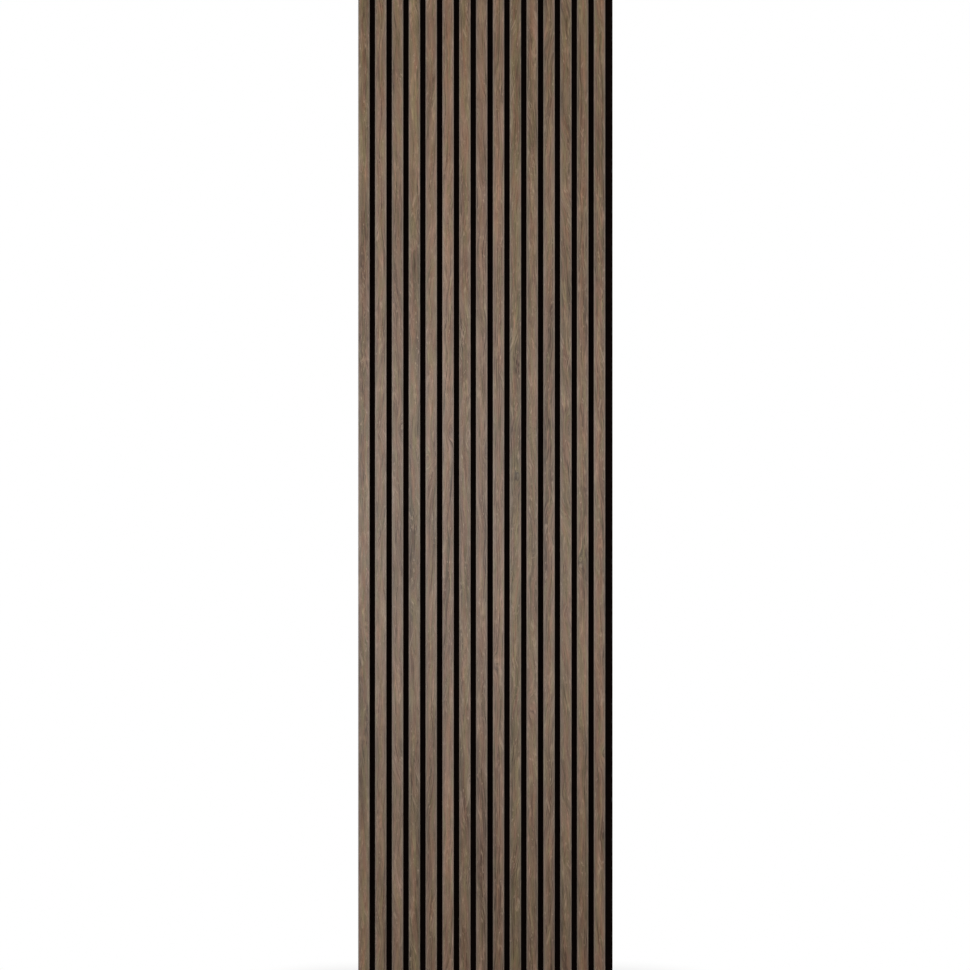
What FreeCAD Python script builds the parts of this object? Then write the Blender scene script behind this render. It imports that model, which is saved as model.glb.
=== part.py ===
import FreeCAD, Part
import os
import Sketcher

# Acoustic slat wall panel. Upright slats of fibreboard, each wrapped in a
# sheet of veneer, are glued and stapled from behind to a felt sheet.
# X runs to the right as seen from the room and Z runs up along the slats.
# The back of the felt is the plane Y = 0, the room is on the -Y side, and
# the origin is the centre of the felt's back.

DRIVING_SIZES = {
    "panel_height": 2400,
    "slat_count": 15,
    "slat_width": 27,
    "slat_thickness": 12,
    "slat_gap": 13,
    "side_lap": 5,
    "felt_thickness": 9,
    "veneer_thickness": 0.6,
    "core_arris": 0.6,
    "staple_crown": 12.8,
    "staple_leg": 16,
    "staple_point": 0.8,
    "staple_wire_width": 0.95,
    "staple_wire_thickness": 0.65,
    "staple_sink": 0.5,
    "staple_rows": 6,
    "staple_end_distance": 100,
}

document = FreeCAD.newDocument("slat_wall_panel")
sizes = document.addObject("Spreadsheet::Sheet", "Sizes")
for row, (alias, value) in enumerate(DRIVING_SIZES.items(), start=1):
    sizes.set(f"A{row}", alias)
    sizes.set(f"B{row}", str(value))
    sizes.setAlias(f"B{row}", alias)
document.recompute()

# Sizes that follow from the driving ones. The felt is as wide as its slats'
# share of the wall, so that panels set side by side keep the spacing. The
# first slat laps over the edge of the felt, and the last one leaves that
# much more felt bare for the next panel's first slat.
PITCH = "(Sizes.slat_width + Sizes.slat_gap)"
FELT_WIDTH = f"(Sizes.slat_count * {PITCH})"
FIRST_SLAT_LEFT = f"(-{FELT_WIDTH} / 2 - Sizes.side_lap)"
BOTTOM_EDGE = "-Sizes.panel_height / 2"
CORE_WIDTH = "(Sizes.slat_width - 2 * Sizes.veneer_thickness)"
CORE_THICKNESS = "(Sizes.slat_thickness - Sizes.veneer_thickness)"
FELT_FRONT = "-Sizes.felt_thickness"

# Each staple stands midway across the part of its slat that the felt backs
# behind the first slat, measured here from the slat's left side.
STAPLE_CENTRE = "((Sizes.slat_width + Sizes.side_lap) / 2)"
HALF_CROWN = "Sizes.staple_crown / 2"
HALF_CROWN_INSIDE = f"({HALF_CROWN} - Sizes.staple_wire_thickness)"
CROWN_UNDERSIDE = "-Sizes.staple_sink - Sizes.staple_wire_thickness"
LEG_TIP = "-Sizes.staple_sink - Sizes.staple_leg"
ROWS_EXTENT = "Sizes.panel_height - 2 * Sizes.staple_end_distance"
SLATS_EXTENT = f"(Sizes.slat_count - 1) * {PITCH}"

# How a sketch numbers its own origin point.
SKETCH_ORIGIN = (-1, 1)


def origin_feature(body, role):
    """The body's own plane or axis with this role."""
    return next(item for item in body.Origin.OriginFeatures if item.Role == role)


def new_body(name, left, back="0"):
    """A body whose own Z = 0 is the panel's bottom edge, set at left and back."""
    body = document.addObject("PartDesign::Body", name)
    body.Label = name
    body.setExpression("Placement.Base.x", left)
    body.setExpression("Placement.Base.y", back)
    body.setExpression("Placement.Base.z", BOTTOM_EDGE)
    return body


def place_corner(sketch, line, axis, text):
    """Dimension the start of a line along X or Y, measured from the origin."""
    distance = float(sizes.evalExpression(text))
    corner = (line, 1)
    if distance == 0:
        in_line = "Vertical" if axis == "X" else "Horizontal"
        sketch.addConstraint(Sketcher.Constraint(in_line, *SKETCH_ORIGIN, *corner))
        return
    ends = SKETCH_ORIGIN + corner if distance > 0 else corner + SKETCH_ORIGIN
    sign = "" if distance > 0 else "-1 * "
    number = sketch.addConstraint(
        Sketcher.Constraint("Distance" + axis, *ends, abs(distance))
    )
    sketch.setExpression(f"Constraints[{number}]", f"{sign}({text})")


def add_outline(sketch, corners):
    """A closed outline of straight lines. Corners are pairs of expressions."""
    points = [
        FreeCAD.Vector(*(float(sizes.evalExpression(text)) for text in corner), 0)
        for corner in corners
    ]
    count = len(corners)
    first_line = sketch.GeometryCount
    for index in range(count):
        line = Part.LineSegment(points[index], points[(index + 1) % count])
        sketch.addGeometry(line, False)
    for index, (x, y) in enumerate(corners):
        line = first_line + index
        following = (index + 1) % count
        next_x, next_y = corners[following]
        join = Sketcher.Constraint("Coincident", line, 2, first_line + following, 1)
        sketch.addConstraint(join)
        if x == next_x:
            sketch.addConstraint(Sketcher.Constraint("Vertical", line))
        if y == next_y:
            sketch.addConstraint(Sketcher.Constraint("Horizontal", line))
    for index, (x, y) in enumerate(corners):
        line = first_line + index
        earlier = corners[index - 1] if index else (None, None)
        closing = corners[0] if index == count - 1 else (None, None)
        if x not in (earlier[0], closing[0]):
            place_corner(sketch, line, "X", x)
        if y not in (earlier[1], closing[1]):
            place_corner(sketch, line, "Y", y)


def section_sketch(body, name, outlines, level="0"):
    """Outlines seen from above, at a level over the body's bottom edge."""
    sketch = body.newObject("Sketcher::SketchObject", name)
    sketch.AttachmentSupport = [(origin_feature(body, "XY_Plane"), "")]
    sketch.MapMode = "FlatFace"
    sketch.setExpression("AttachmentOffset.Base.z", level)
    for corners in outlines:
        add_outline(sketch, corners)
    return sketch


def rectangle(left, right, front, back):
    """Corners of a rectangle, from its four sides."""
    return [(left, front), (right, front), (right, back), (left, back)]


def staple_outline(centre, crown_top, outer_tip, inner_tip):
    """Corners of a staple's U: its crown behind and its legs to the room."""
    left, right = f"{centre} - {HALF_CROWN}", f"{centre} + {HALF_CROWN}"
    inner_left = f"{centre} - {HALF_CROWN_INSIDE}"
    inner_right = f"{centre} + {HALF_CROWN_INSIDE}"
    return [
        (left, crown_top),
        (right, crown_top),
        (right, outer_tip),
        (inner_right, inner_tip),
        (inner_right, CROWN_UNDERSIDE),
        (inner_left, CROWN_UNDERSIDE),
        (inner_left, inner_tip),
        (left, outer_tip),
    ]


def full_height_pad(body, name, corners):
    """The section drawn out over the panel's whole height."""
    pad = body.newObject("PartDesign::Pad", name)
    pad.Profile = section_sketch(body, name + "_section", [corners])
    pad.setExpression("Length", "Sizes.panel_height")
    document.recompute()
    return pad


def staple_thick(body, kind, name, outlines):
    """A pad or pocket as thick as the staple's wire, at the lowest row."""
    level = "Sizes.staple_end_distance"
    feature = body.newObject(f"PartDesign::{kind}", name)
    feature.Profile = section_sketch(body, name + "_outline", outlines, level)
    feature.setExpression("Length", "Sizes.staple_wire_width")
    feature.Midplane = True
    return feature


def repeat_up_the_panel(body, feature, name):
    """Copies of a feature at each row of staples."""
    pattern = body.newObject("PartDesign::LinearPattern", name)
    pattern.Originals = [feature]
    pattern.Direction = (origin_feature(body, "Z_Axis"), [""])
    pattern.setExpression("Length", ROWS_EXTENT)
    pattern.setExpression("Occurrences", "Sizes.staple_rows")
    body.Tip = pattern
    return pattern


def repeat_over_the_panel(body, feature, name):
    """Copies of a feature at each row of staples and behind each slat."""
    pattern = repeat_up_the_panel(body, feature, name)
    pattern.Direction2 = (origin_feature(body, "X_Axis"), [""])
    pattern.setExpression("Length2", SLATS_EXTENT)
    pattern.setExpression("Occurrences2", "Sizes.slat_count")
    return pattern


def upright_front_edges(shape):
    """Names of the two upright edges that face the room."""
    upright = [
        (edge.BoundBox.YMax, f"Edge{number}")
        for number, edge in enumerate(shape.Edges, start=1)
        if edge.BoundBox.ZLength > edge.BoundBox.XLength + edge.BoundBox.YLength
    ]
    return [name for depth, name in sorted(upright)[:2]]


def back_and_end_faces(shape):
    """Names of the flat faces at the back, the top and the bottom."""
    names = []
    for number, face in enumerate(shape.Faces, start=1):
        if not isinstance(face.Surface, Part.Plane):
            continue
        outward = face.normalAt(0, 0)
        if round(outward.y) > 0 or round(outward.z) != 0:
            names.append(f"Face{number}")
    return names


def rounded_bar(body, name, corners, radius):
    """A full-height bar with its two room-side edges eased to a radius."""
    bar = full_height_pad(body, name, corners)
    eased = body.newObject("PartDesign::Fillet", name + "_arrises")
    eased.Base = (bar, upright_front_edges(bar.Shape))
    eased.setExpression("Radius", radius)
    document.recompute()
    return eased


def slat_left(number):
    """The left side of a slat, counted from 1 at the left."""
    return f"{FIRST_SLAT_LEFT} + {number - 1} * {PITCH}"


def make_felt_backing():
    """Felt sheet, with a narrow slit where each staple is driven through."""
    body = new_body("felt_backing", f"-{FELT_WIDTH} / 2")
    full_height_pad(body, "felt_sheet", rectangle("0", FELT_WIDTH, FELT_FRONT, "0"))
    centre = f"({STAPLE_CENTRE} - Sizes.side_lap)"
    slit = staple_outline(centre, "0", FELT_FRONT, FELT_FRONT)
    pocket = staple_thick(body, "Pocket", "staple_slit", [slit])
    repeat_over_the_panel(body, pocket, "staple_slits")
    return body


def make_slat_core(number):
    """Fibreboard core of one slat, with the holes that the staples drove."""
    name = f"slat_core_{number:02d}"
    left = f"{slat_left(number)} + Sizes.veneer_thickness"
    body = new_body(name, left, FELT_FRONT)
    rounded_bar(
        body,
        f"board_{number:02d}",
        rectangle("0", CORE_WIDTH, f"-{CORE_THICKNESS}", "0"),
        "Sizes.core_arris",
    )
    centre = f"({STAPLE_CENTRE} - Sizes.veneer_thickness)"
    hole_end = f"{LEG_TIP} + Sizes.felt_thickness"
    left_hole = (f"{centre} - {HALF_CROWN}", f"{centre} - {HALF_CROWN_INSIDE}")
    right_hole = (f"{centre} + {HALF_CROWN_INSIDE}", f"{centre} + {HALF_CROWN}")
    holes = [rectangle(*sides, hole_end, "0") for sides in (left_hole, right_hole)]
    pocket = staple_thick(body, "Pocket", f"leg_holes_{number:02d}", holes)
    repeat_up_the_panel(body, pocket, f"leg_hole_rows_{number:02d}")
    return body


def make_slat_veneer(number):
    """Veneer wrapped round the front and both sides of one core."""
    name = f"slat_veneer_{number:02d}"
    body = new_body(name, slat_left(number), FELT_FRONT)
    bar = rounded_bar(
        body,
        f"slat_{number:02d}",
        rectangle("0", "Sizes.slat_width", "-Sizes.slat_thickness", "0"),
        "Sizes.core_arris + Sizes.veneer_thickness",
    )
    wrap = body.newObject("PartDesign::Thickness", f"wrap_{number:02d}")
    wrap.Base = (bar, back_and_end_faces(bar.Shape))
    wrap.setExpression("Value", "Sizes.veneer_thickness")
    wrap.Reversed = True
    return body


def make_staples():
    """Wire staples: one in each slat at each row, driven from behind."""
    body = new_body("staples", f"{FIRST_SLAT_LEFT} + {STAPLE_CENTRE}")
    body.AllowCompound = True
    inner_tip = f"{LEG_TIP} + Sizes.staple_point"
    wire = staple_outline("0", "-Sizes.staple_sink", LEG_TIP, inner_tip)
    staple = staple_thick(body, "Pad", "staple", [wire])
    repeat_over_the_panel(body, staple, "staple_rows")
    return body


slat_numbers = range(1, int(sizes.get("slat_count")) + 1)
sub_parts = [make_felt_backing()]
sub_parts += [make_slat_core(number) for number in slat_numbers]
sub_parts += [make_slat_veneer(number) for number in slat_numbers]
sub_parts += [make_staples()]
document.recompute()

for item in document.Objects:
    if "Invalid" in item.State or "Error" in item.State:
        raise RuntimeError(f"{item.Label} did not compute: {item.State}")
for body in sub_parts:
    if body.Shape.isNull() or not body.Shape.isValid():
        raise RuntimeError(f"{body.Label} has no valid shape")

os.makedirs("parts", exist_ok=True)
for body in sub_parts:
    body.Shape.exportStep(f"parts/{body.Label}.step")
    print(body.Label, len(body.Shape.Solids), "solids", round(body.Shape.Volume, 1))
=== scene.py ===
import bmesh
import bpy
import math
from mathutils import Matrix, Vector


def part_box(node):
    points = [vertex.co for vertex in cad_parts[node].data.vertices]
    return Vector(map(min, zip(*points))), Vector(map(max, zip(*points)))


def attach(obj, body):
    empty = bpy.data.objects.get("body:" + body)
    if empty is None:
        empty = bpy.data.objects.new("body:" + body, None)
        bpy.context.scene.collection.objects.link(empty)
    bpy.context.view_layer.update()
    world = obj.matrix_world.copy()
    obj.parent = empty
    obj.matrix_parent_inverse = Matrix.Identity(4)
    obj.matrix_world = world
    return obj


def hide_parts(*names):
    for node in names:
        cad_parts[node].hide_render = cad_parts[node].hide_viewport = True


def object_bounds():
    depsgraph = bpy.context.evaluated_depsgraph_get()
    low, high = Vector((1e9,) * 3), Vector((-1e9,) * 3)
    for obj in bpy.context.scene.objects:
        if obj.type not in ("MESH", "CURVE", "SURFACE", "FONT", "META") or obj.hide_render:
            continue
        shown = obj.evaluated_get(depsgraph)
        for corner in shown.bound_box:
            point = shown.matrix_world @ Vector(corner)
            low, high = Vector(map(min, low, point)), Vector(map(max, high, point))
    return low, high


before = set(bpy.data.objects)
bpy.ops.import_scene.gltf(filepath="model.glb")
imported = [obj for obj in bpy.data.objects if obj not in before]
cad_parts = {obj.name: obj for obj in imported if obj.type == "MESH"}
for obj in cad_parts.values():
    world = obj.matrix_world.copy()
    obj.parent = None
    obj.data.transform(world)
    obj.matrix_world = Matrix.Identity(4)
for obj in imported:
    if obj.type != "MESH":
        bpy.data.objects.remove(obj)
cad_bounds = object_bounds()


# Felt backing
# One stiff sheet of black polyester felt, needle-punched and cut to size. It
# lies flat on the wall and carries the slats, glued and stapled to its front.
# The staples are driven from behind and press a dimple into its back.

MM = 0.001
FELT_EDGE_SOFTNESS = 0.7 * MM
FELT_EDGE_STEPS = 3
FELT_WIDEST_COLUMN = 20 * MM
FELT_TALLEST_ROW = 60 * MM
ON_BACK_WITHIN = 0.1 * MM
STAPLE_ROWS = 6
STAPLE_END_DISTANCE = 100 * MM
STAPLE_CROWN = 12.8 * MM
STAPLE_WIRE_THICKNESS = 0.65 * MM
STAPLE_SINK = 0.5 * MM
DIMPLE_DEPTH = STAPLE_SINK + STAPLE_WIRE_THICKNESS + 0.1 * MM
DIMPLE_REACH = 2.6 * MM

# Where the sheet has lines for its dimples, in millimetres: past the ends of a
# staple's crown, and above and below it.
LINES_PAST_CROWN = (0, 0.8, 1.7, 2.8, 4.5)
LINES_BESIDE_CROWN = (0, 0.7, 1.4, 2.2, 3.2, 4.6, 6.5)

felt_low, felt_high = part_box("felt_backing")
slat_names = sorted(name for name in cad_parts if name.startswith("slat_veneer"))
staples_low, staples_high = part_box("staples")
staple_heights = [
    felt_low.z + STAPLE_END_DISTANCE
    + row * (felt_high.z - felt_low.z - 2 * STAPLE_END_DISTANCE) / (STAPLE_ROWS - 1)
    for row in range(STAPLE_ROWS)
]
first_staple = staples_low.x + STAPLE_CROWN / 2
last_staple = staples_high.x - STAPLE_CROWN / 2
staple_places = [
    first_staple + column * (last_staple - first_staple) / (len(slat_names) - 1)
    for column in range(len(slat_names))
]


def lines_with_detail(low, high, centres, offsets, widest):
    """Grid lines from low to high, close together round each centre."""
    lines = {low, high}
    for centre in centres:
        lines.update(centre + side * offset for offset in offsets for side in (-1, 1))
    spaced = sorted(line for line in lines if low <= line <= high)
    filled = [spaced[0]]
    for line in spaced[1:]:
        start = filled[-1]
        steps = max(1, math.ceil((line - start) / widest))
        filled += [start + (line - start) * step / steps for step in range(1, steps + 1)]
    return filled


def only(kind, geometry):
    """The vertices, edges or faces among what a mesh operator gives back."""
    return [item for item in geometry if isinstance(item, kind)]


def mesh_piece(name, bm):
    """A mesh object made from a bmesh, at the origin of the scene."""
    mesh = bpy.data.meshes.new(name)
    bm.to_mesh(mesh)
    bm.free()
    piece = bpy.data.objects.new(name, mesh)
    bpy.context.scene.collection.objects.link(piece)
    return piece


def dimple_depth(point):
    """How deep the felt is pressed in at a point of its back."""
    across = min(abs(point.x - place) for place in staple_places)
    along = min(abs(point.z - height) for height in staple_heights)
    past_crown = max(0.0, across - STAPLE_CROWN / 2)
    distance = math.hypot(past_crown, along)
    return DIMPLE_DEPTH * math.exp(-((distance / DIMPLE_REACH) ** 2))


def make_felt():
    """The sheet, with soft edges, and a dimple in its back at each staple."""
    half_crown = STAPLE_CROWN / 2
    past_crown = [0, half_crown / 2] + [half_crown + line * MM for line in LINES_PAST_CROWN]
    beside_crown = [line * MM for line in LINES_BESIDE_CROWN]
    columns = lines_with_detail(
        felt_low.x, felt_high.x, staple_places, past_crown, FELT_WIDEST_COLUMN
    )
    rows = lines_with_detail(
        felt_low.z, felt_high.z, staple_heights, beside_crown, FELT_TALLEST_ROW
    )
    bm = bmesh.new()
    bmesh.ops.create_grid(
        bm, x_segments=len(columns) - 1, y_segments=len(rows) - 1, size=0.5
    )
    for vert in bm.verts:
        column = round((vert.co.x + 0.5) * (len(columns) - 1))
        row = round((vert.co.y + 0.5) * (len(rows) - 1))
        vert.co = Vector((columns[column], felt_high.y, rows[row]))
    front = bmesh.ops.extrude_face_region(bm, geom=bm.faces[:])
    bmesh.ops.translate(
        bm, verts=only(bmesh.types.BMVert, front["geom"]),
        vec=(0, felt_low.y - felt_high.y, 0),
    )
    bmesh.ops.recalc_face_normals(bm, faces=bm.faces[:])
    rim = [edge for edge in bm.edges if edge.calc_face_angle(0) > math.radians(60)]
    bmesh.ops.bevel(
        bm, geom=rim, offset=FELT_EDGE_SOFTNESS, offset_type="OFFSET",
        segments=FELT_EDGE_STEPS, profile=0.5, affect="EDGES", material=-1,
        clamp_overlap=True,
    )
    for vert in bm.verts:
        if felt_high.y - vert.co.y < ON_BACK_WITHIN:
            vert.co.y -= dimple_depth(vert.co)
    for face in bm.faces:
        face.smooth = True
    return mesh_piece("felt_sheet", bm)


def set_inputs(tree, node, inputs):
    """Give a shader node its inputs, as values or as links."""
    for name, value in inputs.items():
        if isinstance(value, bpy.types.NodeSocket):
            tree.links.new(value, node.inputs[name])
        else:
            node.inputs[name].default_value = value


def add_node(tree, kind, inputs=None, **settings):
    """A new shader node with its settings and inputs."""
    node = tree.nodes.new(kind)
    for name, value in settings.items():
        setattr(node, name, value)
    set_inputs(tree, node, inputs or {})
    return node


def calculate(tree, operation, *values):
    """The result of a Math node."""
    node = add_node(tree, "ShaderNodeMath", dict(enumerate(values)), operation=operation)
    return node.outputs[0]


def remap(tree, value, from_low, from_high, to_low=0.0, to_high=1.0):
    """A value taken from one range to another, held at both ends."""
    limits = {
        "Value": value, "From Min": from_low, "From Max": from_high,
        "To Min": to_low, "To Max": to_high,
    }
    return add_node(tree, "ShaderNodeMapRange", limits, clamp=True).outputs[0]


# A Mix node numbers its sockets: those for colours come after the others.
MIX_SHARE = 0
MIX_FIRST = 6
MIX_SECOND = 7
MIX_RESULT = 2


def mix_colours(tree, share, first, second, blend="MIX"):
    """Two colours mixed by a share from 0 to 1."""
    inputs = {MIX_SHARE: share, MIX_FIRST: first, MIX_SECOND: second}
    node = add_node(tree, "ShaderNodeMix", inputs, data_type="RGBA", blend_type=blend)
    return node.outputs[MIX_RESULT]


def noise(tree, vector, scale, detail, output="Fac", **more):
    """What a Noise Texture gives at a place, from 0 to 1."""
    inputs = {"Vector": vector, "Scale": scale, "Detail": detail, **more}
    return add_node(tree, "ShaderNodeTexNoise", inputs).outputs[output]


def place_on_piece(tree):
    """A point's own place, in metres."""
    return add_node(tree, "ShaderNodeTexCoord").outputs["Object"]


def axes(tree, vector):
    """A vector's X, Y and Z."""
    return add_node(tree, "ShaderNodeSeparateXYZ", {"Vector": vector}).outputs


def emboss(tree, surface, height, strength, depth):
    """Raise and sink a surface a little, by a map of its height."""
    bump = add_node(tree, "ShaderNodeBump", {
        "Height": height, "Strength": strength, "Distance": depth,
    })
    tree.links.new(bump.outputs[0], surface.inputs["Normal"])


def new_material(name):
    """A material with only its surface shader and its output."""
    material = bpy.data.materials.new(name)
    material.use_nodes = True
    tree = material.node_tree
    return material, tree, tree.nodes["Principled BSDF"]


# Fibres lie every way in the sheet: their turn in degrees and their brightness.
FIBRE_LAYERS = ((8, 1.0), (43, 0.55), (77, 0.8), (112, 0.45), (141, 0.9), (168, 0.6))
FIBRE_WIDTH = 0.12 * MM
FIBRE_LENGTH = 2.8 * MM
FIBRE_CURL = 2.6 * MM
FIBRE_LAYER_SHIFT = 37 * MM
FRONT_SHADE_FADES_FROM = 0.4 * MM
FRONT_SHADE_GONE_AT = 2.5 * MM
# Painted shade: the front colours are darker, standing in for the shade between the slats.
SHADED_FRONT_GROUND = (0.0011, 0.0007, 0.0006, 1)
SHADED_FRONT_FIBRE = (0.009, 0.004, 0.003, 1)
FELT_OWN_GROUND = (0.0060, 0.0056, 0.0056, 1)
FELT_OWN_FIBRE = (0.060, 0.057, 0.056, 1)


def felt_fibres(tree, place):
    """Where single fibres show: layers of thin curled strands, each turned its way."""
    drift = noise(tree, place, 260.0, 1.0, "Color")
    curled = add_node(tree, "ShaderNodeVectorMath", {
        0: drift, 1: (FIBRE_CURL, FIBRE_CURL, FIBRE_CURL), 2: place,
    }, operation="MULTIPLY_ADD").outputs[0]
    fibres = 0.0
    for number, (turn, brightness) in enumerate(FIBRE_LAYERS):
        laid = add_node(tree, "ShaderNodeMapping", {
            "Vector": curled, "Location": (number * FIBRE_LAYER_SHIFT, 0, 0),
            "Rotation": (0, math.radians(turn), 0),
            "Scale": (FIBRE_WIDTH, 3 * FIBRE_WIDTH, FIBRE_LENGTH),
        }, vector_type="TEXTURE").outputs[0]
        strand = remap(tree, noise(tree, laid, 1.0, 1.0), 0.58, 0.68, 0.0, brightness)
        fibres = calculate(tree, "MAXIMUM", fibres, strand)
    return fibres


def make_felt_material():
    """Black fibres, with painted shade on the front and the felt's own colour at the edges
    and back.
    """
    material, tree, surface = new_material("black_felt")
    place = place_on_piece(tree)
    clumps = noise(tree, place, 45.0, 3.0)
    fibres = calculate(
        tree, "MULTIPLY", felt_fibres(tree, place), remap(tree, clumps, 0.3, 0.7, 0.45, 1.0)
    )

    # Painted shade: the front is darkened for the shade between the slats. The edges and the
    # back keep the felt's own colour.
    depth = axes(tree, place)["Y"]
    out_of_front_shade = remap(tree, depth, felt_low.y + FRONT_SHADE_FADES_FROM, felt_low.y + FRONT_SHADE_GONE_AT)
    ground = mix_colours(tree, out_of_front_shade, SHADED_FRONT_GROUND, FELT_OWN_GROUND)
    fibre = mix_colours(tree, out_of_front_shade, SHADED_FRONT_FIBRE, FELT_OWN_FIBRE)
    set_inputs(tree, surface, {
        "Base Color": mix_colours(tree, fibres, ground, fibre),
        "Roughness": 0.95,
        "Specular IOR Level": 0.0,
        "Sheen Weight": 0.04,
        "Sheen Roughness": 0.5,
    })
    height = calculate(tree, "MULTIPLY_ADD", clumps, 1.4, fibres)
    emboss(tree, surface, height, 0.8, 0.25 * MM)
    return material


felt = make_felt()
felt.data.materials.append(make_felt_material())
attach(felt, "root")
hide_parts("felt_backing")


# Slat cores
# Strips of medium-density fibreboard, sawn from a board and glued to the felt.
# The board is dense and dark near its two faces and paler between them. Only
# the sawn ends show, at the top and the bottom of the panel.

BOARD_SKIN = 1.6 * MM
CHIP_DARK = (0.27, 0.17, 0.09, 1)
CHIP_PALE = (0.52, 0.36, 0.21, 1)
MOTTLE_COLOUR = (0.19, 0.115, 0.062, 1)
SKIN_COLOUR = (0.12, 0.07, 0.038, 1)


def make_fibreboard_material(back, front):
    """Glued chips, mottled, and darker towards the board's two faces."""
    material, tree, surface = new_material("fibreboard")
    place = place_on_piece(tree)
    depth = axes(tree, place)["Y"]
    from_back = calculate(tree, "SUBTRACT", back, depth)
    from_front = calculate(tree, "SUBTRACT", depth, front)
    from_face = calculate(tree, "MINIMUM", from_back, from_front)
    skin = remap(tree, from_face, 0.0, BOARD_SKIN, 0.55, 0.0)
    chips = noise(tree, place, 900.0, 4.0, Roughness=0.65, Distortion=0.8)
    mottle = remap(tree, noise(tree, place, 240.0, 2.0), 0.35, 0.7, 0.0, 0.35)
    board = mix_colours(tree, remap(tree, chips, 0.3, 0.7), CHIP_DARK, CHIP_PALE)
    board = mix_colours(tree, mottle, board, MOTTLE_COLOUR)
    set_inputs(tree, surface, {
        "Base Color": mix_colours(tree, skin, board, SKIN_COLOUR),
        "Roughness": 0.9,
        "Specular IOR Level": 0.2,
    })
    saw_marks = add_node(tree, "ShaderNodeTexWave", {
        "Vector": place, "Scale": 260.0, "Distortion": 3.0, "Detail": 2.0,
    }, bands_direction="X").outputs["Fac"]
    height = calculate(tree, "MULTIPLY_ADD", saw_marks, 0.4, chips)
    emboss(tree, surface, height, 0.7, 0.12 * MM)
    return material


core_names = sorted(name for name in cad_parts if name.startswith("slat_core"))
core_low, core_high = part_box(core_names[0])
fibreboard = make_fibreboard_material(core_high.y, core_low.y)
for name in core_names:
    core_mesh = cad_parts[name].data
    core_mesh.materials.clear()
    core_mesh.materials.append(fibreboard)


# Slat veneers
# Each slat is wrapped on its front and both sides in one thin sheet of sliced
# walnut, smoked grey-brown and matt lacquered. The sheet is bent round the
# front arrises, and every slat has a sheet from another part of the log.

VENEER_THICKNESS = 0.6 * MM
ARRIS_RADIUS = 1.2 * MM
ARRIS_STEPS = 6


def make_veneer_mesh(name, low, high):
    """A sheet bent round a slat's front and sides, with its flat shape as UV map."""
    bm = bmesh.new()
    bmesh.ops.create_cube(bm, size=1.0)
    bmesh.ops.scale(bm, verts=bm.verts[:], vec=high - low)
    bmesh.ops.translate(bm, verts=bm.verts[:], vec=(high + low) / 2)
    glued_or_sawn = [
        face for face in bm.faces if face.normal.y > 0.5 or abs(face.normal.z) > 0.5
    ]
    bmesh.ops.delete(bm, geom=glued_or_sawn, context="FACES")
    arrises = [edge for edge in bm.edges if len(edge.link_faces) == 2]
    bent = bmesh.ops.bevel(
        bm, geom=arrises, offset=ARRIS_RADIUS, offset_type="OFFSET",
        segments=ARRIS_STEPS, profile=0.5, affect="EDGES", material=-1,
        clamp_overlap=False,
    )
    for face in bent["faces"]:
        face.smooth = True
    bmesh.ops.recalc_face_normals(bm, faces=bm.faces[:])
    area_facing_back = sum(face.normal.y * face.calc_area() for face in bm.faces)
    if area_facing_back > 0:
        bmesh.ops.reverse_faces(bm, faces=bm.faces[:])
    bmesh.ops.solidify(bm, geom=bm.faces[:], thickness=VENEER_THICKNESS)
    middle = (low.x + high.x) / 2
    sheet = bm.loops.layers.uv.new("sheet")
    for face in bm.faces:
        for loop in face.loops:
            corner = loop.vert.co
            side = 1 if corner.x > middle else -1
            flat_across = corner.x - middle + side * (corner.y - low.y)
            loop[sheet].uv = (flat_across, corner.z)
    return mesh_piece(name, bm)


# What sets one sheet's figure apart from another's.
FIGURE_NAMES = (
    "Heart Across", "Heart Depth", "Taper", "Ring Width", "Bend", "Lean",
    "Curl Across", "Curl Height", "Curl Swell", "Lightness", "Redness", "Greyness",
)
CURL_WIDTH = 9.0
CURL_LENGTH = 30.0

# One growth ring from its start to its end: how dark its late wood is.
RING_PROFILE = ((0.0, 0.0), (0.5, 0.08), (0.82, 0.45), (0.94, 1.0), (1.0, 0.0))

# Each kind of mark: its width and length in millimetres, its seed and its detail.
MARKS = {
    "bends": (90.0, 190.0, 23.7, 1.0),
    "ripples": (9.0, 40.0, 31.9, 1.0),
    "ring waver": (300.0, 210.0, 43.1, 1.0),
    "stretches": (40.0, 560.0, 46.7, 2.0),
    "patches": (12.0, 190.0, 51.7, 2.0),
    "bands": (4.0, 80.0, 57.1, 2.0),
    "streaks": (1.3, 42.0, 71.9, 2.0),
    "fibres": (0.38, 14.0, 83.3, 2.0),
    "hairs": (0.14, 17.0, 87.1, 2.0),
    "strokes": (1.9, 24.0, 103.9, 2.0),
    "stroke patches": (12.0, 75.0, 113.1, 1.0),
    "dark loops": (3.8, 46.0, 131.3, 0.5),
    "dark loops patches": (13.0, 90.0, 135.3, 1.0),
    "pale loops": (3.4, 30.0, 139.7, 0.5),
    "pale loops patches": (13.0, 90.0, 143.7, 1.0),
    "left lines": (6.0, 160.0, 147.1, 0.5),
    "left lines patches": (18.0, 80.0, 151.1, 1.0),
    "right lines": (6.0, 160.0, 153.7, 0.5),
    "right lines patches": (18.0, 80.0, 157.7, 1.0),
    "redness": (6.0, 55.0, 61.3, 2.0),
    "long redness": (16.0, 270.0, 63.1, 1.0),
    "greyness": (7.0, 65.0, 67.7, 2.0),
    # Flecks of painted glint and shade, in patches, broken into hairs.
    "flecks": (2.3, 11.0, 121.3, 1.0),
    "fleck patches": (10.0, 55.0, 127.9, 1.0),
    "fleck hairs": (0.36, 9.0, 129.1, 1.0),
    "pores": (0.3, 4.5, 91.7, 1.0),
    "pore patches": (5.0, 60.0, 97.1, 1.0),
    "fine pores": (0.15, 3.2, 95.3, 1.0),
}

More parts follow.
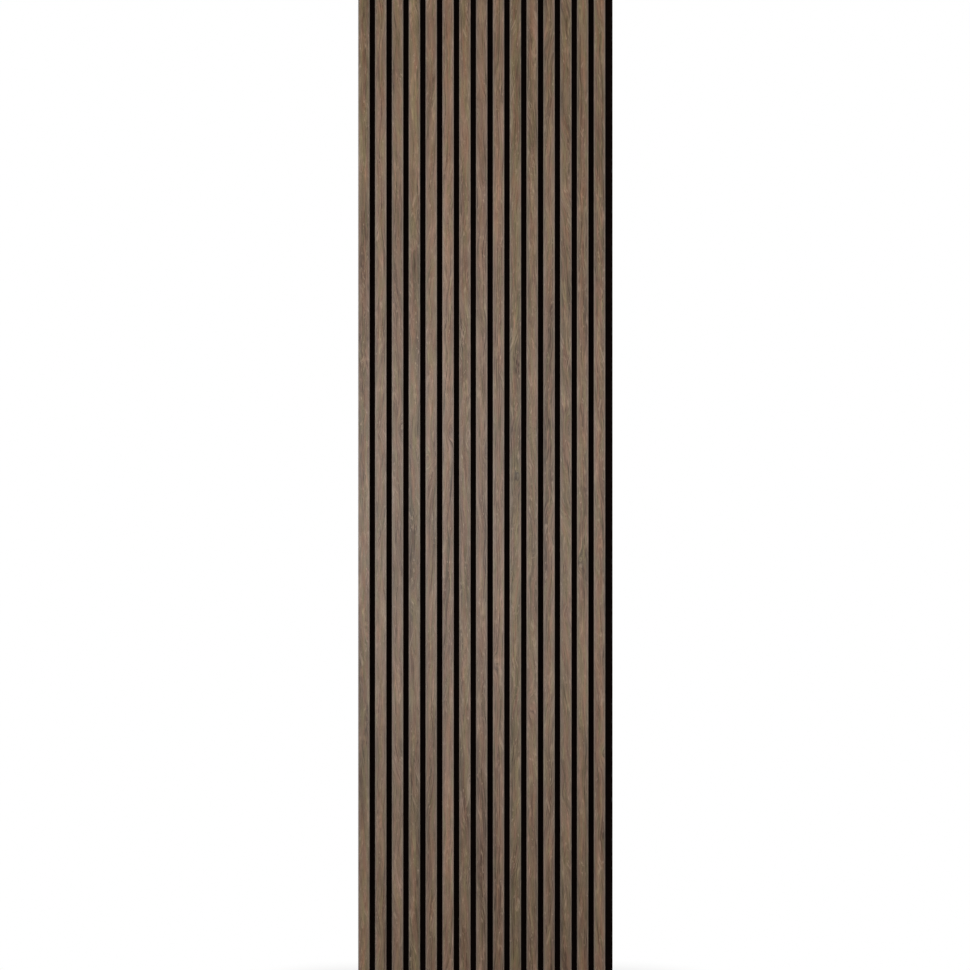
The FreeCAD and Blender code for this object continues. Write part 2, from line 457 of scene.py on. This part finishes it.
# How far some marks swing about their middle: the bends as a share of the
# sheet's own bend, the ripples and the rings' waver in millimetres, and the rest
# as shares of tone, redness and greyness.
SWINGS = {
    "bends": 2.6, "ripples": 1.5, "ring waver": 16.0, "strokes": 1.0,
    "redness": 4.4, "long redness": 1.8, "greyness": 1.6,
}

# How strongly the marks along the grain lighten and darken the wood.
GRAIN_CONTRASTS = {
    "stretches": 1.5, "patches": 1.0, "bands": 0.8, "streaks": 0.9, "fibres": 0.5,
    "hairs": 0.6,
}
LATE_WOOD_CONTRAST = -0.8

# Lines that double back and close: their contrast, how thin they are, and how
# few patches show them.
LOOP_CONTRASTS = {"dark loops": -0.3, "pale loops": 0.5}
LOOP_THINNESS = (0.03, 0.12)
LOOP_PATCHES = (0.56, 0.66)

# Pale lines that cross the grain, with how far each leans to the side.
LINE_LEANS = {"left lines": 0.30, "right lines": -0.26}
LEANING_THINNESS = (0.015, 0.06)
LEANING_PATCHES = (0.66, 0.69)
LEANING_PALENESS = 0.55

WOOD_DARK = (0.041, 0.021, 0.008, 1)
WOOD_PALE = (0.276, 0.186, 0.107, 1)
OLIVE_TINT = (0.93, 1.06, 0.86, 1)
RUSSET_TINT = (1.13, 0.91, 0.90, 1)
MAUVE_TINT = (1.03, 0.97, 1.22, 1)
# The pale colour serves the painted glint of the flecks and the pale leaning lines.
PALE_GLINT_AND_LINES = (0.36, 0.25, 0.165, 1)
PALE_SHARE = 0.8
# The dark colour serves pores, knots and the painted shade of the dark flecks.
PORE_KNOT_AND_SHADE_COLOUR = (0.03, 0.017, 0.009, 1)
PORE_DARKNESS = 0.7
DARK_SHARE = 0.75
# Painted highlight and wear: lighter, greyer wood towards the arrises, partly sanded stain
# and partly light that catches the bent edges.
WEAR_AND_SHEEN_TINT = (1.06, 1.0, 0.93, 1)
WEAR_AND_SHEEN_SHARE = 0.34
ARRIS_WEAR_AND_HIGHLIGHT = (0.27, 0.225, 0.185, 1)
ARRIS_WEAR_AND_HIGHLIGHT_SHARE = 0.5

# In millimetres: the cell of a pin knot, where across the sheet the stain wears thin and a
# painted sheen lightens it, and where the bent arris with its painted highlight is and how
# far it reaches.
KNOT_WIDTH = 9.0
KNOT_LENGTH = 16.0
WEAR_AND_SHEEN_FROM = 4.0
WEAR_AND_SHEEN_TO = 13.0
ARRIS_ACROSS = 13.2
ARRIS_FULL = 0.3
ARRIS_REACH = 2.2


def marks(group, sheet, across, kind):
    """Noise of one kind, drawn out along the grain, from 0 to 1."""
    width, length, seed, detail = MARKS[kind]
    vector = add_node(group, "ShaderNodeCombineXYZ", {
        "X": calculate(group, "DIVIDE", across, width),
        "Y": calculate(group, "DIVIDE", sheet["Along"], length),
        "Z": calculate(group, "ADD", sheet["Seed"], seed),
    })
    return noise(group, vector.outputs[0], 1.0, detail)


def about_zero(group, value, reach):
    """A value from 0 to 1 made to swing as far below zero as above it."""
    return calculate(group, "MULTIPLY_ADD", value, reach, -reach / 2)


def swing(group, sheet, across, kind):
    """Marks of one kind, swung about their middle."""
    return about_zero(group, marks(group, sheet, across, kind), SWINGS[kind])


def thin_lines(group, sheet, across, kind, thinness, patch_range):
    """Lines along the middle value of some marks, shown only in a few patches."""
    from_middle = about_zero(group, marks(group, sheet, across, kind), 1.0)
    from_middle = calculate(group, "ABSOLUTE", from_middle)
    line = remap(group, from_middle, *thinness, 1.0, 0.0)
    patches = marks(group, sheet, sheet["Across"], kind + " patches")
    return calculate(group, "MULTIPLY", line, remap(group, patches, *patch_range))


def grain_course(group, sheet):
    """The grain's sideways drift: slow bends, small ripples and one curl."""
    bends = swing(group, sheet, sheet["Across"], "bends")
    course = calculate(group, "MULTIPLY_ADD", bends, sheet["Bend"], sheet["Across"])
    ripples = swing(group, sheet, sheet["Across"], "ripples")
    course = calculate(group, "ADD", course, ripples)
    curl_across = calculate(group, "SUBTRACT", sheet["Across"], sheet["Curl Across"])
    curl_across = calculate(group, "DIVIDE", curl_across, CURL_WIDTH)
    curl_along = calculate(group, "SUBTRACT", sheet["Along"], sheet["Curl Height"])
    curl_along = calculate(group, "DIVIDE", curl_along, CURL_LENGTH)
    curl_reach = calculate(
        group, "MULTIPLY_ADD", curl_across, curl_across,
        calculate(group, "MULTIPLY", curl_along, curl_along),
    )
    curl = calculate(group, "EXPONENT", calculate(group, "MULTIPLY", curl_reach, -1.0))
    return calculate(group, "MULTIPLY_ADD", curl, sheet["Curl Swell"], course)


def growth_rings(group, sheet, course):
    """Late wood, by the distance from the heart of a tree that tapers."""
    sideways = calculate(group, "SUBTRACT", course, sheet["Heart Across"])
    depth = calculate(
        group, "MULTIPLY_ADD", sheet["Metres Up"], sheet["Taper"], sheet["Heart Depth"]
    )
    waver = swing(group, sheet, sheet["Across"], "ring waver")
    depth = calculate(group, "ADD", depth, waver)
    depth_squared = calculate(group, "MULTIPLY", depth, depth)
    radius_squared = calculate(group, "MULTIPLY_ADD", sideways, sideways, depth_squared)
    radius = calculate(group, "SQRT", radius_squared)
    rings = calculate(group, "DIVIDE", radius, sheet["Ring Width"])
    ring_seed = calculate(group, "ADD", calculate(group, "FLOOR", rings), sheet["Seed"])
    strength = add_node(
        group, "ShaderNodeTexWhiteNoise", {"W": ring_seed}, noise_dimensions="1D"
    ).outputs["Value"]
    growth = add_node(group, "ShaderNodeValToRGB", {"Fac": calculate(group, "FRACT", rings)})
    stops = growth.color_ramp.elements
    for position, _ in RING_PROFILE[1:-1]:
        stops.new(position)
    for stop, (_, level) in zip(stops, RING_PROFILE):
        stop.color = (level, level, level, 1)
    strength_squared = calculate(group, "MULTIPLY", strength, strength)
    return calculate(group, "MULTIPLY", growth.outputs["Color"], strength_squared)


def grain_colour(group, sheet, grain, late_wood, layers):
    """Wood from dark to pale, by its rings and all the marks along the grain."""
    tone = calculate(
        group, "MULTIPLY_ADD", late_wood, LATE_WOOD_CONTRAST, sheet["Lightness"]
    )
    for kind, contrast in GRAIN_CONTRASTS.items():
        tone = calculate(group, "ADD", tone, about_zero(group, layers[kind], contrast))
    strokes = swing(group, sheet, grain, "strokes")
    patches = marks(group, sheet, sheet["Across"], "stroke patches")
    patches = remap(group, patches, 0.44, 0.66, 0.35, 1.5)
    tone = calculate(group, "MULTIPLY_ADD", strokes, patches, tone)
    for kind, contrast in LOOP_CONTRASTS.items():
        loops = thin_lines(group, sheet, grain, kind, LOOP_THINNESS, LOOP_PATCHES)
        tone = calculate(group, "MULTIPLY_ADD", loops, contrast, tone)
    return mix_colours(group, remap(group, tone, -0.3, 1.3), WOOD_DARK, WOOD_PALE)


def drifting_hue(group, sheet, grain, wood):
    """Wood that drifts between a red brown, an olive brown and a mauve grey."""
    redness = swing(group, sheet, grain, "redness")
    redness = calculate(group, "ADD", redness, sheet["Redness"])
    long_redness = swing(group, sheet, grain, "long redness")
    redness = calculate(group, "ADD", redness, long_redness)
    greyness = swing(group, sheet, grain, "greyness")
    greyness = calculate(group, "ADD", greyness, sheet["Greyness"])
    olive = mix_colours(group, 1.0, wood, OLIVE_TINT, "MULTIPLY")
    russet = mix_colours(group, 1.0, wood, RUSSET_TINT, "MULTIPLY")
    mauve = mix_colours(group, 1.0, wood, MAUVE_TINT, "MULTIPLY")
    wood = mix_colours(group, remap(group, redness, 0.0, 1.0), olive, russet)
    return mix_colours(group, remap(group, greyness, 0.0, 1.0), wood, mauve)


def open_pores(group, sheet, grain):
    """Pores cut open along the grain: short ones in patches, fine ones everywhere."""
    pores = remap(group, marks(group, sheet, grain, "pores"), 0.57, 0.64)
    patches = marks(group, sheet, sheet["Across"], "pore patches")
    pores = calculate(group, "MULTIPLY", pores, remap(group, patches, 0.35, 0.65))
    fine_pores = marks(group, sheet, grain, "fine pores")
    fine_pores = remap(group, fine_pores, 0.57, 0.62, 0.0, 0.6)
    return calculate(group, "MAXIMUM", pores, fine_pores)


def pin_knots(group, sheet):
    """A few small dark knots, each in a cell of its own."""
    cell = add_node(group, "ShaderNodeCombineXYZ", {
        "X": calculate(group, "DIVIDE", sheet["Across"], KNOT_WIDTH),
        "Y": calculate(group, "DIVIDE", sheet["Along"], KNOT_LENGTH),
        "Z": sheet["Seed"],
    })
    knots = add_node(group, "ShaderNodeTexVoronoi", {
        "Vector": cell.outputs[0], "Scale": 1.0,
    })
    chance = add_node(group, "ShaderNodeSeparateColor", {"Color": knots.outputs["Color"]})
    return calculate(
        group, "MULTIPLY", remap(group, knots.outputs["Distance"], 0.06, 0.11, 1.0, 0.0),
        remap(group, chance.outputs[0], 0.8, 0.88),
    )


def flecked(group, sheet, grain, wood, pores):
    """Wood with flecks of painted glint and painted shade where its fibres dive and rise,
    pale lines, pores and knots.
    """
    # Painted glint and shade: pale and dark flecks stand in for light caught and lost where
    # the fibres dive and rise.
    flecks = marks(group, sheet, grain, "flecks")
    patches = marks(group, sheet, sheet["Across"], "fleck patches")
    patches = remap(group, patches, 0.47, 0.57)
    hairs = remap(group, marks(group, sheet, grain, "fleck hairs"), 0.4, 0.6, 0.3, 1.0)
    patches = calculate(group, "MULTIPLY", patches, hairs)
    pale = calculate(group, "MULTIPLY", remap(group, flecks, 0.63, 0.70), patches)
    dark = calculate(group, "MULTIPLY", remap(group, flecks, 0.30, 0.37, 0.7, 0.0), patches)
    for kind, lean in LINE_LEANS.items():
        leaning = calculate(group, "MULTIPLY_ADD", sheet["Along"], lean, grain)
        lines = thin_lines(
            group, sheet, leaning, kind, LEANING_THINNESS, LEANING_PATCHES
        )
        lines = calculate(group, "MULTIPLY", lines, LEANING_PALENESS)
        pale = calculate(group, "MAXIMUM", pale, lines)
    pale = calculate(group, "MULTIPLY", pale, PALE_SHARE)
    wood = mix_colours(group, pale, wood, PALE_GLINT_AND_LINES)
    pores = calculate(group, "MULTIPLY", pores, PORE_DARKNESS)
    dark = calculate(group, "MAXIMUM", dark, pores)
    dark = calculate(group, "MAXIMUM", dark, pin_knots(group, sheet))
    dark = calculate(group, "MULTIPLY", dark, DARK_SHARE)
    return mix_colours(group, dark, wood, PORE_KNOT_AND_SHADE_COLOUR)


def worn_and_sheen_at_arrises(group, sheet, wood):
    """Wood lighter and greyer towards the bent arrises: its smoky stain sanded thinner
    there, with a painted highlight where light catches them.
    """
    from_middle = calculate(group, "ABSOLUTE", sheet["Across"])
    grey = add_node(group, "ShaderNodeRGBToBW", {"Color": wood}).outputs[0]
    worn_and_sheened = mix_colours(group, 1.0, WEAR_AND_SHEEN_TINT, grey, "MULTIPLY")
    wear_and_sheen = remap(group, from_middle, WEAR_AND_SHEEN_FROM, WEAR_AND_SHEEN_TO, 0.0, WEAR_AND_SHEEN_SHARE)
    wood = mix_colours(group, wear_and_sheen, wood, worn_and_sheened)
    # Painted highlight along each bent arris, over its rubbed stain.
    from_arris = calculate(group, "SUBTRACT", from_middle, ARRIS_ACROSS)
    from_arris = calculate(group, "ABSOLUTE", from_arris)
    arris = remap(group, from_arris, ARRIS_FULL, ARRIS_REACH, ARRIS_WEAR_AND_HIGHLIGHT_SHARE, 0.0)
    return mix_colours(group, arris, wood, ARRIS_WEAR_AND_HIGHLIGHT)


def make_sliced_veneer_group():
    """Colour, roughness and height of sliced walnut, by its place on the sheet."""
    group = bpy.data.node_groups.new("sliced_veneer", "ShaderNodeTree")
    group.interface.new_socket(name="Sheet", in_out="INPUT", socket_type="NodeSocketVector")
    for name in ("Seed",) + FIGURE_NAMES:
        group.interface.new_socket(name=name, in_out="INPUT", socket_type="NodeSocketFloat")
    for name, kind in (("Colour", "Color"), ("Roughness", "Float"), ("Height", "Float")):
        group.interface.new_socket(
            name=name, in_out="OUTPUT", socket_type="NodeSocket" + kind
        )

    # The sheet's inputs, and the place on it in millimetres from its middle.
    sheet = dict(add_node(group, "NodeGroupInput").outputs.items())
    place = axes(group, sheet["Sheet"])
    sheet["Across"] = calculate(group, "DIVIDE", place["X"], MM)
    sheet["Along"] = calculate(group, "DIVIDE", place["Y"], MM)
    sheet["Metres Up"] = place["Y"]

    course = grain_course(group, sheet)
    grain = calculate(group, "MULTIPLY_ADD", sheet["Along"], sheet["Lean"], course)
    late_wood = growth_rings(group, sheet, course)
    layers = {kind: marks(group, sheet, grain, kind) for kind in GRAIN_CONTRASTS}
    pores = open_pores(group, sheet, grain)
    wood = grain_colour(group, sheet, grain, late_wood, layers)
    wood = drifting_hue(group, sheet, grain, wood)
    wood = flecked(group, sheet, grain, wood, pores)
    wood = worn_and_sheen_at_arrises(group, sheet, wood)

    height = calculate(group, "MULTIPLY", late_wood, 0.3)
    height = calculate(group, "MULTIPLY_ADD", layers["fibres"], 0.35, height)
    height = calculate(group, "SUBTRACT", height, pores)
    roughness = remap(group, layers["streaks"], 0.3, 0.7, 0.26, 0.36)
    roughness = calculate(group, "MULTIPLY_ADD", pores, 0.2, roughness)
    add_node(group, "NodeGroupOutput", {
        "Colour": wood, "Roughness": roughness, "Height": height,
    })
    return group


def make_veneer_material(name, figure):
    """Lacquered walnut with one sheet's own figure."""
    material, tree, surface = new_material(name)
    sheet = add_node(tree, "ShaderNodeUVMap", uv_map="sheet").outputs["UV"]
    veneer = add_node(tree, "ShaderNodeGroup", node_tree=sliced_veneer)
    set_inputs(tree, veneer, {"Sheet": sheet, **figure})
    set_inputs(tree, surface, {
        "Base Color": veneer.outputs["Colour"],
        "Roughness": veneer.outputs["Roughness"],
        "Specular IOR Level": 0.17,
    })
    emboss(tree, surface, veneer.outputs["Height"], 0.5, 0.08 * MM)
    return material


# Where each sheet was sliced from, in the order of FIGURE_NAMES: the heart's
# distance across and behind, the taper, the ring width, the grain's bend and
# lean, one curl's place, height and swell, and the colour.
FIGURES = (
    (70, 20, 8, 4.5, 9, 0.02, 12, 60, 9, 0.49, 0.50, 0.30),
    (-48, 14, 18, 5.0, 14, -0.04, -8, -1080, -14, 0.51, 0.38, 0.50),
    (40, 22, -14, 4.0, 16, 0.10, 10, 130, 22, 0.59, 0.42, 0.55),
    (-75, 30, 10, 5.2, 8, 0.03, -10, -260, 10, 0.46, 0.34, 0.30),
    (30, 26, 16, 4.6, 14, -0.07, -4, 60, -14, 0.60, 0.55, 0.45),
    (-20, 34, -22, 5.4, 10, -0.03, 2, 130, 12, 0.68, 0.75, 0.45),
    (55, 18, 12, 4.4, 12, 0.04, 8, -700, 12, 0.56, 0.48, 0.35),
    (-60, 25, -8, 5.0, 15, 0.07, 6, 80, 16, 0.57, 0.62, 0.60),
    (85, 30, 10, 4.8, 8, -0.02, -12, -420, 12, 0.57, 0.68, 0.45),
    (-35, 16, 20, 4.2, 14, -0.06, 10, 20, -12, 0.37, 0.24, 0.25),
    (45, 28, -12, 5.0, 10, 0.05, -6, -520, 12, 0.50, 0.44, 0.40),
    (-80, 20, 9, 4.6, 15, -0.08, 12, 640, 12, 0.47, 0.50, 0.45),
    (24, 20, 18, 4.4, 18, 0.12, 4, 135, 20, 0.53, 0.38, 0.40),
    (-52, 32, 10, 5.2, 10, 0.02, -10, -180, 12, 0.53, 0.52, 0.32),
    (64, 22, -10, 4.8, 12, 0.06, 4, -640, 10, 0.48, 0.68, 0.28),
)
SEED_STEP = 17.3

sliced_veneer = make_sliced_veneer_group()
for number, (name, figure) in enumerate(zip(slat_names, FIGURES), start=1):
    low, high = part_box(name)
    sheet_piece = make_veneer_mesh(f"veneer_{number:02d}", low, high)
    values = {"Seed": number * SEED_STEP, **dict(zip(FIGURE_NAMES, figure))}
    sheet_piece.data.materials.append(make_veneer_material(f"walnut_{number:02d}", values))
    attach(sheet_piece, "root")
    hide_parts(name)


# Staples
# Zinc-plated wire staples from a pneumatic gun, driven from behind through the
# felt into each core. The crown lies across the slat, pressed into the felt,
# and the two legs end in chisel points.

STAPLE_WIRE_WIDTH = 0.95 * MM
STAPLE_LEG = 16 * MM
STAPLE_POINT = 0.8 * MM
STAPLE_BEND = 0.45 * MM
BEND_STEPS = 3
SAME_POINT = 1e-6
ZINC_BRIGHT = (0.44, 0.45, 0.46, 1)
ZINC_DULL = (0.25, 0.26, 0.27, 1)


def make_staples():
    """One staple, made from its left point to its middle, mirrored and repeated."""
    thickness = STAPLE_WIRE_THICKNESS
    half_crown = STAPLE_CROWN / 2
    half_width = STAPLE_WIRE_WIDTH / 2
    crown_back = felt_high.y - STAPLE_SINK
    tip = crown_back - STAPLE_LEG
    bend = STAPLE_BEND + thickness
    bm = bmesh.new()
    corners = (
        (-half_crown, tip, -half_width),
        (-half_crown + thickness, tip + STAPLE_POINT, -half_width),
        (-half_crown + thickness, tip + STAPLE_POINT, half_width),
        (-half_crown, tip, half_width),
    )
    wire_end = bm.faces.new([bm.verts.new(corner) for corner in corners])
    leg = bmesh.ops.extrude_face_region(bm, geom=[wire_end])
    for vert in only(bmesh.types.BMVert, leg["geom"]):
        vert.co.y = crown_back - bend
    turn = bmesh.ops.spin(
        bm, geom=only(bmesh.types.BMFace, leg["geom"]),
        cent=(-half_crown + bend, crown_back - bend, 0), axis=(0, 0, 1),
        angle=-math.pi / 2, steps=BEND_STEPS, use_duplicate=False,
    )
    crown = bmesh.ops.extrude_face_region(
        bm, geom=only(bmesh.types.BMFace, turn["geom_last"])
    )
    for vert in only(bmesh.types.BMVert, crown["geom"]):
        vert.co.x = 0.0
    at_middle = [
        face for face in bm.faces if all(abs(vert.co.x) < SAME_POINT for vert in face.verts)
    ]
    bmesh.ops.delete(bm, geom=at_middle, context="FACES_ONLY")
    half = bm.verts[:] + bm.edges[:] + bm.faces[:]
    bmesh.ops.mirror(bm, geom=half, axis="X", merge_dist=SAME_POINT)
    bmesh.ops.remove_doubles(bm, verts=bm.verts[:], dist=SAME_POINT)
    bmesh.ops.recalc_face_normals(bm, faces=bm.faces[:])
    pattern = bm.verts[:] + bm.edges[:] + bm.faces[:]
    for place in staple_places:
        for height in staple_heights:
            copied = bmesh.ops.duplicate(bm, geom=pattern)
            verts = only(bmesh.types.BMVert, copied["geom"])
            bmesh.ops.translate(bm, verts=verts, vec=(place, 0, height))
    bmesh.ops.delete(bm, geom=only(bmesh.types.BMVert, pattern), context="VERTS")
    return mesh_piece("staple_wires", bm)


def make_zinc_material():
    """Bright wire with dull bloom on its zinc."""
    material, tree, surface = new_material("zinc_wire")
    bloom = noise(tree, place_on_piece(tree), 900.0, 3.0)
    dullness = remap(tree, bloom, 0.35, 0.7)
    set_inputs(tree, surface, {
        "Base Color": mix_colours(tree, dullness, ZINC_BRIGHT, ZINC_DULL),
        "Roughness": remap(tree, bloom, 0.3, 0.7, 0.26, 0.46),
        "Metallic": 1.0,
    })
    return material


staples = make_staples()
staples.data.materials.append(make_zinc_material())
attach(staples, "root")
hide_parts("staples")


# Floor, lights and camera
# The panel stands on its end on a pale floor in a white studio. Soft lights
# stand in front of it to the left and the right, beside the camera, above it
# and behind it.

FLOOR_RADIUS = 40.0
FLOOR_CORNERS = 96
FLOOR_GREY = 0.65
SHADOW_REACH = 0.38
SKY_LIGHT = 0.34


def seen_ray(tree):
    """1 for what the camera sees, straight or in gloss or glass, and else 0."""
    rays = add_node(tree, "ShaderNodeLightPath").outputs
    seen = calculate(tree, "MAXIMUM", rays["Is Camera Ray"], rays["Is Glossy Ray"])
    return calculate(tree, "MAXIMUM", seen, rays["Is Transmission Ray"])


def make_floor_material():
    """A floor that is pure white to the eye, and keeps the shadow round the foot."""
    material, tree, surface = new_material("studio_floor")
    set_inputs(tree, surface, {
        "Base Color": (FLOOR_GREY, FLOOR_GREY, FLOOR_GREY, 1),
        "Roughness": 0.9,
        "Specular IOR Level": 0.1,
    })
    place = axes(tree, place_on_piece(tree))
    past_side = calculate(
        tree, "SUBTRACT", calculate(tree, "ABSOLUTE", place["X"]), felt_high.x
    )
    from_foot = add_node(tree, "ShaderNodeCombineXYZ", {
        "X": calculate(tree, "MAXIMUM", past_side, 0.0), "Y": place["Y"],
    })
    distance = add_node(
        tree, "ShaderNodeVectorMath", {0: from_foot.outputs[0]}, operation="LENGTH"
    )
    whiteness = add_node(tree, "ShaderNodeMapRange", {
        "Value": distance.outputs["Value"], "From Min": 0.0, "From Max": SHADOW_REACH,
        "To Min": 0.5, "To Max": 1.0,
    }, interpolation_type="SMOOTHSTEP").outputs[0]
    white = add_node(tree, "ShaderNodeEmission", {"Color": (1, 1, 1, 1), "Strength": 1.0})
    mixed = add_node(tree, "ShaderNodeMixShader", {
        0: calculate(tree, "MULTIPLY", seen_ray(tree), whiteness),
        1: surface.outputs[0], 2: white.outputs[0],
    })
    set_inputs(tree, tree.nodes["Material Output"], {"Surface": mixed.outputs[0]})
    return material


def make_floor():
    """A wide round floor at the foot of the panel."""
    bm = bmesh.new()
    bmesh.ops.create_circle(
        bm, cap_ends=True, radius=FLOOR_RADIUS, segments=FLOOR_CORNERS,
        matrix=Matrix.Translation((0, 0, felt_low.z)),
    )
    return mesh_piece("floor", bm)


def make_world():
    """Soft grey light all round, seen as plain white."""
    world = bpy.data.worlds.new("white_studio")
    bpy.context.scene.world = world
    world.use_nodes = True
    tree = world.node_tree
    tree.nodes.clear()
    soft = add_node(tree, "ShaderNodeBackground", {
        "Color": (1, 1, 1, 1), "Strength": SKY_LIGHT,
    })
    white = add_node(tree, "ShaderNodeBackground", {"Color": (1, 1, 1, 1), "Strength": 1.0})
    mixed = add_node(tree, "ShaderNodeMixShader", {
        0: seen_ray(tree), 1: soft.outputs[0], 2: white.outputs[0],
    })
    add_node(tree, "ShaderNodeOutputWorld", {"Surface": mixed.outputs[0]})


def make_softbox(name, place, aim, width, height, power):
    """A soft light from a rectangle, unseen by the camera."""
    lamp = bpy.data.lights.new(name, "AREA")
    lamp.shape = "RECTANGLE"
    lamp.size = width
    lamp.size_y = height
    lamp.energy = power
    softbox = bpy.data.objects.new(name, lamp)
    softbox.location = place
    aimed = Vector(aim) - Vector(place)
    softbox.rotation_euler = aimed.to_track_quat("-Z", "Y").to_euler()
    softbox.visible_camera = False
    bpy.context.scene.collection.objects.link(softbox)


# Where each light stands, what it points at, its width, height and watts.
SOFTBOXES = {
    "left_light": ((-1.3, -1.7, 0.74), (0, 0, 0.5), 0.7, 0.9, 12.7),
    "right_light": ((1.3, -1.7, 0.69), (0, 0, 0.5), 0.7, 0.9, 9.9),
    "front_light": ((-0.4, -6.2, -0.15), (0, 0, 0), 1.2, 1.7, 155),
    "top_light": ((0, -0.3, 3.4), (0, 0, 1.2), 1.5, 1.5, 6),
    "back_light": ((2.2, 3.4, 1.6), (0, 0, 0), 2.4, 1.8, 75),
}

# The photograph's frame is 970 pixels square. The panel is 254.6 pixels wide in
# it, with its middle half a pixel right of the frame's.
PHOTO_SIZE = 970
PANEL_PIXELS = 254.6
PANEL_MIDDLE_PIXEL = 485.5
CAMERA_DISTANCE = 6.0
SENSOR_WIDTH = 36.0


def make_camera():
    """A camera square to the panel's front, with the photograph's frame."""
    low, high = cad_bounds
    metres_per_pixel = (high.x - low.x) / PANEL_PIXELS
    frame_width = PHOTO_SIZE * metres_per_pixel
    camera = bpy.data.cameras.new("camera")
    camera.sensor_width = SENSOR_WIDTH
    camera.lens = SENSOR_WIDTH * CAMERA_DISTANCE / frame_width
    view = bpy.data.objects.new("camera", camera)
    middle = (low.x + high.x) / 2
    off_middle = (PANEL_MIDDLE_PIXEL - PHOTO_SIZE / 2) * metres_per_pixel
    view.location = (middle - off_middle, low.y - CAMERA_DISTANCE, (low.z + high.z) / 2)
    view.rotation_euler = (math.pi / 2, 0, 0)
    bpy.context.scene.collection.objects.link(view)
    bpy.context.scene.camera = view


floor = make_floor()
floor.data.materials.append(make_floor_material())
make_world()
for name, settings in SOFTBOXES.items():
    make_softbox(name, *settings)
make_camera()
bpy.context.scene.view_settings.view_transform = "Standard"
